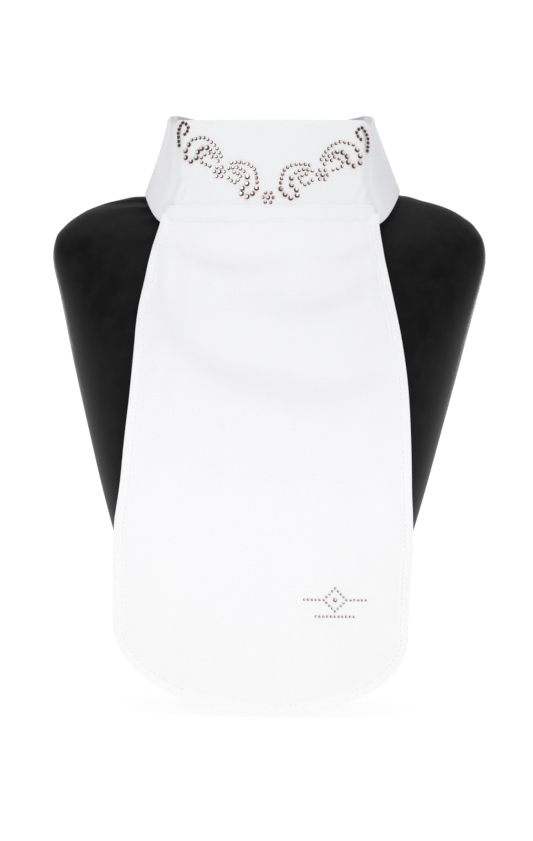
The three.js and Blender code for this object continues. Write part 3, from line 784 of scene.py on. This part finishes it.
# A row of stitches that lie on a cloth's surface, each half sunk in it.
def sewRow(name, cloth, lines, pitch=None):
    deselectAll()
    bpy.ops.mesh.primitive_uv_sphere_add(segments=8, ring_count=5, radius=0.5)
    stitch = bpy.context.object
    stitch.scale = (sewing["length"], sewing["thick"], sewing["thick"])
    bpy.ops.object.transform_apply(location=False, rotation=False, scale=True)
    copies = []
    for line in lines:
        for spot, along in walkLine(line, (pitch or sewing["pitch"]) * 0.001):
            _, here, normal, _ = cloth.closest_point_on_mesh(spot)
            right = (along - normal * along.dot(normal)).normalized()
            turned = Matrix((right, normal.cross(right), normal)).transposed().to_4x4()
            mesh = stitch.data.copy()
            mesh.transform(Matrix.Translation(here + normal * 0.00004) @ turned @ Matrix.Scale(0.001, 4))
            copy = bpy.data.objects.new(name, mesh)
            bpy.context.scene.collection.objects.link(copy)
            copies.append(copy)
    bpy.data.objects.remove(stitch)
    makeActive(copies[0])
    for copy in copies:
        copy.select_set(True)
    bpy.ops.object.join()
    piece = bpy.context.object
    piece.name = name
    bpy.ops.object.shade_smooth()
    piece.data.materials.clear()
    piece.data.materials.append(bpy.data.materials.get("sewingThread") or threadMaterial())
    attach(piece, "root")
    return piece


def sewEverything():
    plastron = bpy.data.objects["plastron"]
    inset = bib["hemStitch"]
    left = [bibPoint(readSections(z, 1) - readSections(z, 2) + inset, z) for z in range(272, 48, -4)]
    right = [bibPoint(readSections(z, 1) + readSections(z, 2) - inset, z) for z in range(272, 44, -4)]
    lower = []
    for k in range(1, 80):
        over = -math.cos(math.pi * k / 80)
        edgeRun = bib["footHalf"] * math.sqrt(max(1 - over * over, 0.002))
        slope = bib["roundDepth"] * over / edgeRun - bib["tilt"]
        steep = math.sqrt(1 + slope * slope)
        z = bibFoot(over)
        x = readSections(z, 1) + over * bib["footHalf"]
        lower.append(bibPoint(x - inset * slope / steep, z + inset / steep))
    sewRow("stitches_hem", plastron, [left + lower + right[::-1]])
    cover = bpy.data.objects["seam_cover"]
    rows = []
    for down in seamBand["stitchRows"]:
        level = blendValue(bandTop, bandFoot, down)
        half = blendValue(seamBand["topHalf"], seamBand["footHalf"], down) * 0.93
        xs = [seamBand["middle"] + half * k / 20 for k in range(-20, 21)]
        rows.append([frontPoint(x, level + x * collarSlant, 2.5) for x in xs])
    sewRow("stitches_seam", cover, rows, 2.4)
    band = bpy.data.objects["neckband_right_cloth"]
    lap = []
    for offset in (-0.055, 0.06):
        lap.append([neckPoint(1 + offset, z, 3.4) for z in range(298, 325, 3)])
    sewRow("stitches_lap", band, lap, 2.4)
    print("sewing")


stone = dict(small=2.05, large=3.0, table=0.6, rise=0.42, girdle=0.3, sides=8)
ornament = dict(
    x=-2.1, z=286.25, turn=-0.011, leftShare=0.917, outward=1.6,
    paintedDarkness=[(0, 0.3), (7, 0.38), (13, 0.05), (56, 0.05)],  # painted dark reflections, by distance from the middle
    # the hooks' stones are painted dark all over: painted dark reflections
    hookPaintedDarkness=0.66,
)
motifRuns = dict(
    lower_scroll=[
        ([(22.2, 18.5), (17.2, 19), (11.8, 17.8), (8.2, 14.8), (6.7, 8.2)], 10, "small"),
        ([(6.9, 4.9), (11.6, 0.1), (16.7, 2.9), (12.7, 7.1), (12.5, 11)], 7, "large"),
        ([(14.7, 14), (18.5, 16.1), (23.7, 15.4)], 5, "small"),
        ([(20.5, 13.5), (16.7, 11.6), (19.9, 7.7), (23.9, 10.2)], 7, "small"),
    ],
    upper_scroll=[
        ([(28.5, 21.8), (32, 27.5), (38.5, 31.9), (46, 30.6)], 10, "small"),
        ([(48, 27.9), (50, 23.5), (49.4, 20.4), (46.4, 18.8)], 4, "large"),
        ([(43.2, 20.8), (42.3, 24.4), (40.2, 26), (37, 26.5)], 4, "large"),
        ([(34.8, 25.5), (32.3, 23.4), (30.3, 19.3)], 4, "small"),
        ([(34, 21.5), (35.9, 23.5), (40.1, 21.1), (39.6, 18), (35, 16.4)], 7, "small"),
    ],
    hook=[
        ([(50.2, 33.7), (47.9, 37.1), (51.1, 40.2), (54.1, 34.7), (53.8, 27.4)], 11, "small"),
    ],
)


# Points spaced evenly along a smooth curve through the given ones.
def spacedPoints(line, count):
    dense = []
    last = len(line) - 1
    for k in range(last):
        p0, p1, p2, p3 = (Vector(line[min(max(i, 0), last)]) for i in (k - 1, k, k + 1, k + 2))
        for step in range(40):
            s = step / 40
            v0, v1 = (p2 - p0) / 2, (p3 - p1) / 2
            cubic, square = 2 * p1 - 2 * p2 + v0 + v1, 3 * p2 - 3 * p1 - 2 * v0 - v1
            dense.append(cubic * s ** 3 + square * s ** 2 + v0 * s + p1)
    dense.append(Vector(line[last]))
    reach = [0]
    for a, b in zip(dense, dense[1:]):
        reach.append(reach[-1] + (b - a).length)
    points = []
    for k in range(count):
        goal = reach[-1] * k / (count - 1)
        i = max(j for j in range(len(reach)) if reach[j] <= goal + 1e-9)
        i = min(i, len(dense) - 2)
        points.append(dense[i].lerp(dense[i + 1], (goal - reach[i]) / max(reach[i + 1] - reach[i], 1e-9)))
    return points


def makeStoneTemplate():
    deselectAll()
    girdle = stone["girdle"] / stone["small"]
    height = stone["rise"] - girdle
    bpy.ops.mesh.primitive_cone_add(
        vertices=stone["sides"], radius1=0.5, radius2=0.5 * stone["table"], depth=height,
        location=(0, 0, girdle + height / 2))
    crown = bpy.context.object
    crown.name = "stoneTemplate"
    bpy.ops.object.transform_apply(location=True, rotation=True, scale=True)
    bpy.ops.object.mode_set(mode="EDIT")
    bpy.ops.mesh.select_mode(type="FACE")
    bpy.ops.mesh.select_all(action="DESELECT")
    bpy.ops.object.mode_set(mode="OBJECT")
    for face in crown.data.polygons:
        face.select = face.normal.z < -0.9
    bpy.ops.object.mode_set(mode="EDIT")
    bpy.ops.mesh.extrude_region_move(TRANSFORM_OT_translate={"value": (0, 0, -girdle)})
    bpy.ops.mesh.select_all(action="DESELECT")
    bpy.ops.object.mode_set(mode="OBJECT")
    for face in crown.data.polygons:
        face.select = face.normal.z > 0.9
    bpy.ops.object.mode_set(mode="EDIT")
    bpy.ops.mesh.bevel(offset=0.07, segments=1, affect="EDGES")
    bpy.ops.object.mode_set(mode="OBJECT")
    return crown


def stoneMaterial():
    material, nodes, links, shader = newMaterial("roseCrystal")
    tone = nodes.new("ShaderNodeAttribute")
    tone.attribute_name = "facetTone"
    # the facets run from dark brown to near white by their tone: painted reflections and highlights on one
    # rose crystal
    color = rampColor(nodes, [
        (0.0, (0.05, 0.019, 0.021, 1)),
        (0.28, (0.17, 0.065, 0.065, 1)),
        (0.5, (0.5, 0.25, 0.23, 1)),
        (0.72, (0.80, 0.58, 0.54, 1)),
        (0.9, (0.98, 0.92, 0.90, 1)),
    ])
    links.new(tone.outputs["Fac"], color.inputs[0])
    links.new(color.outputs[0], shader.inputs["Base Color"])
    shader.inputs["Metallic"].default_value = 0.5
    shader.inputs["Roughness"].default_value = 0.14
    shader.inputs["Coat Weight"].default_value = 0.4
    shader.inputs["Coat Roughness"].default_value = 0.04
    return material


def paintedDarknessAt(across):
    rows = ornament["paintedDarkness"]
    for (a, low), (b, high) in zip(rows, rows[1:]):
        if across < b:
            return blendValue(low, high, (across - a) / (b - a))
    return rows[-1][1]


# Where a stone sits on the panel, and how dark its painted reflections are.
def setStone(xAcross, z, size, motif=""):
    x = xAcross * ornament["leftShare"] if xAcross < 0 else xAcross
    turn = ornament["turn"]
    turnedX = ornament["x"] + x * math.cos(turn) - z * math.sin(turn)
    turnedZ = ornament["z"] + x * math.sin(turn) + z * math.cos(turn)
    facing = panelFacing(turnedX)
    right = Vector((0, 0, 1)).cross(facing).normalized()
    up = facing.cross(right)
    turned = Matrix((right, up, facing)).transposed().to_4x4()
    spot = Matrix.Translation(panelPoint(turnedX, turnedZ, ornament["outward"]))
    paintedDarkness = ornament["hookPaintedDarkness"] if motif == "hook" else paintedDarknessAt(abs(xAcross))
    return spot @ turned @ Matrix.Scale(size * 0.001, 4), paintedDarkness


# Painted tone of a facet: painted reflections and shade. The table is pale, a painted highlight, and the
# crown darkens on the side that looks away from the light.
def facetTone(normal, lit, paintedDarkness):
    if normal.z > 0.97:
        return 1 - 1.1 * paintedDarkness
    if normal.z < 0.1:
        return 0.35 - 0.3 * paintedDarkness
    return 0.44 + 0.62 * normal.xy.normalized().dot(lit) - 0.5 * paintedDarkness


# One piece of many stones: a copy of the template at each spot, with its own painted reflection tones, and
# all are joined.
def joinStones(name, spots, template, material, *nodes):
    copies = []
    for spot, paintedDarkness in spots:
        mesh = template.data.copy()
        turn = Matrix.Rotation(random.uniform(0, math.pi / 4), 4, "Z")
        away = math.copysign(1, spot.translation.x - neckAxis.x)
        angle = math.radians(90 - away * random.uniform(0, 100))
        lit = Vector((math.cos(angle), math.sin(angle)))
        own = paintedDarkness + random.uniform(-0.06, 0.1)
        tones = []
        for face in mesh.polygons:
            tone = facetTone(turn.to_3x3() @ face.normal, lit, own)
            tones.append(min(max(tone + random.uniform(-0.1, 0.1), 0), 1))
        mesh.transform(spot @ turn)
        tone = mesh.attributes.new("facetTone", "FLOAT", "FACE")
        tone.data.foreach_set("value", tones)
        copy = bpy.data.objects.new(name, mesh)
        bpy.context.scene.collection.objects.link(copy)
        copies.append(copy)
    makeActive(copies[0])
    for copy in copies:
        copy.select_set(True)
    bpy.ops.object.join()
    piece = bpy.context.object
    piece.name = name
    piece.data.materials.clear()
    piece.data.materials.append(material)
    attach(piece, "root")
    if nodes:
        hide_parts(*nodes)
    return piece


def makeOrnament():
    template = makeStoneTemplate()
    material = stoneMaterial()
    for hand, side in (("left", -1), ("right", 1)):
        for motif, runs in motifRuns.items():
            spots = []
            for line, count, size in runs:
                spots += [setStone(side * p.x, p.y, stone[size], motif) for p in spacedPoints(line, count)]
            joinStones(f"crystals_{motif}_{hand}", spots, template, material, f"stones_{motif}_{hand}")
        flowerSpots("left" if side < 0 else "right", side, (29.3, 13.4), 2.8, 2.9, template, material)
    flowerSpots("middle", 1, (0, 0), 2.6, 3, template, material)
    bpy.data.objects.remove(template)
    print("ornament")


def flowerSpots(which, side, centre, size, reach, template, material):
    spots = [setStone(side * centre[0], centre[1], size)]
    for k in range(6):
        angle = 2 * math.pi * k / 6
        x, z = centre[0] + reach * math.cos(angle), centre[1] + reach * math.sin(angle)
        spots.append(setStone(side * x, z, stone["small"]))
    joinStones(f"crystals_flower_{which}", spots, template, material, f"stones_flower_{which}")


# A small plain stud pattern low on the bib: a lozenge with a straight row to each side and one below.
# the studs' facets get painted reflections and shade at this paintedDarkness
studs = dict(x=39, z=66, size=1.3, pitch=2.1, paintedDarkness=0.2)


def makeStuds():
    template = makeStoneTemplate()
    plastron = bpy.data.objects["plastron"]
    marks = [(0, 0, 1.8)]
    corners = [(0, 6.3), (6.3, 0), (0, -6.3), (-6.3, 0)]
    for (ax, az), (bx, bz) in zip(corners, corners[1:] + corners[:1]):
        marks += [(blendValue(ax, bx, k / 4), blendValue(az, bz, k / 4), 1) for k in range(4)]
    for k in range(5):
        marks += [(side * (8.6 + studs["pitch"] * k), 0, 1) for side in (-1, 1)]
    marks += [(studs["pitch"] * k, -9.2, 1) for k in range(-5, 6)]
    spots = []
    for x, z, share in marks:
        _, here, normal, _ = plastron.closest_point_on_mesh(bibPoint(studs["x"] + x, studs["z"] + z, 0.5))
        right = Vector((0, 0, 1)).cross(normal).normalized()
        turned = Matrix((right, normal.cross(right), normal)).transposed().to_4x4()
        spot = Matrix.Translation(here) @ turned @ Matrix.Scale(studs["size"] * share * 0.001, 4)
        spots.append((spot, studs["paintedDarkness"]))
    material = bpy.data.materials["roseCrystal"]
    joinStones("crystals_bib_pattern", spots, template, material)
    bpy.data.objects.remove(template)
    print("studs")


def finishPad():
    material, nodes, links, shader = newMaterial("loopFleece")
    coords = nodes.new("ShaderNodeTexCoord")
    loops = nodes.new("ShaderNodeTexVoronoi")
    loops.inputs["Scale"].default_value = 1100
    links.new(coords.outputs["Object"], loops.inputs["Vector"])
    loopBump = nodes.new("ShaderNodeBump")
    loopBump.inputs["Strength"].default_value = 0.8
    loopBump.inputs["Distance"].default_value = 0.0004
    links.new(loops.outputs["Distance"], loopBump.inputs["Height"])
    links.new(loopBump.outputs[0], shader.inputs["Normal"])
    # the loops' own grey, painted darker in the hollows of the bump as painted shade
    tint = rampColor(nodes, [(0.0, (0.62, 0.62, 0.64, 1)), (0.6, (0.84, 0.84, 0.85, 1))])
    links.new(loops.outputs["Distance"], tint.inputs[0])
    links.new(tint.outputs[0], shader.inputs["Base Color"])
    shader.inputs["Roughness"].default_value = 0.95
    shader.inputs["Specular IOR Level"].default_value = 0.1
    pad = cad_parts["closure_pad"]
    for materialSlot in pad.material_slots:
        materialSlot.material = material
    print("pad")


makeCamera()
makeStudio()
makeBust()
makeCollarPanel()
makeNeckband("neckband_left_cloth", "neckband_left", -1, 0)
makeNeckband("neckband_right_cloth", "neckband_right", 1, 2.6)
makeBib()
makeSeamBand()
sewEverything()
makeOrnament()
makeStuds()
finishPad()
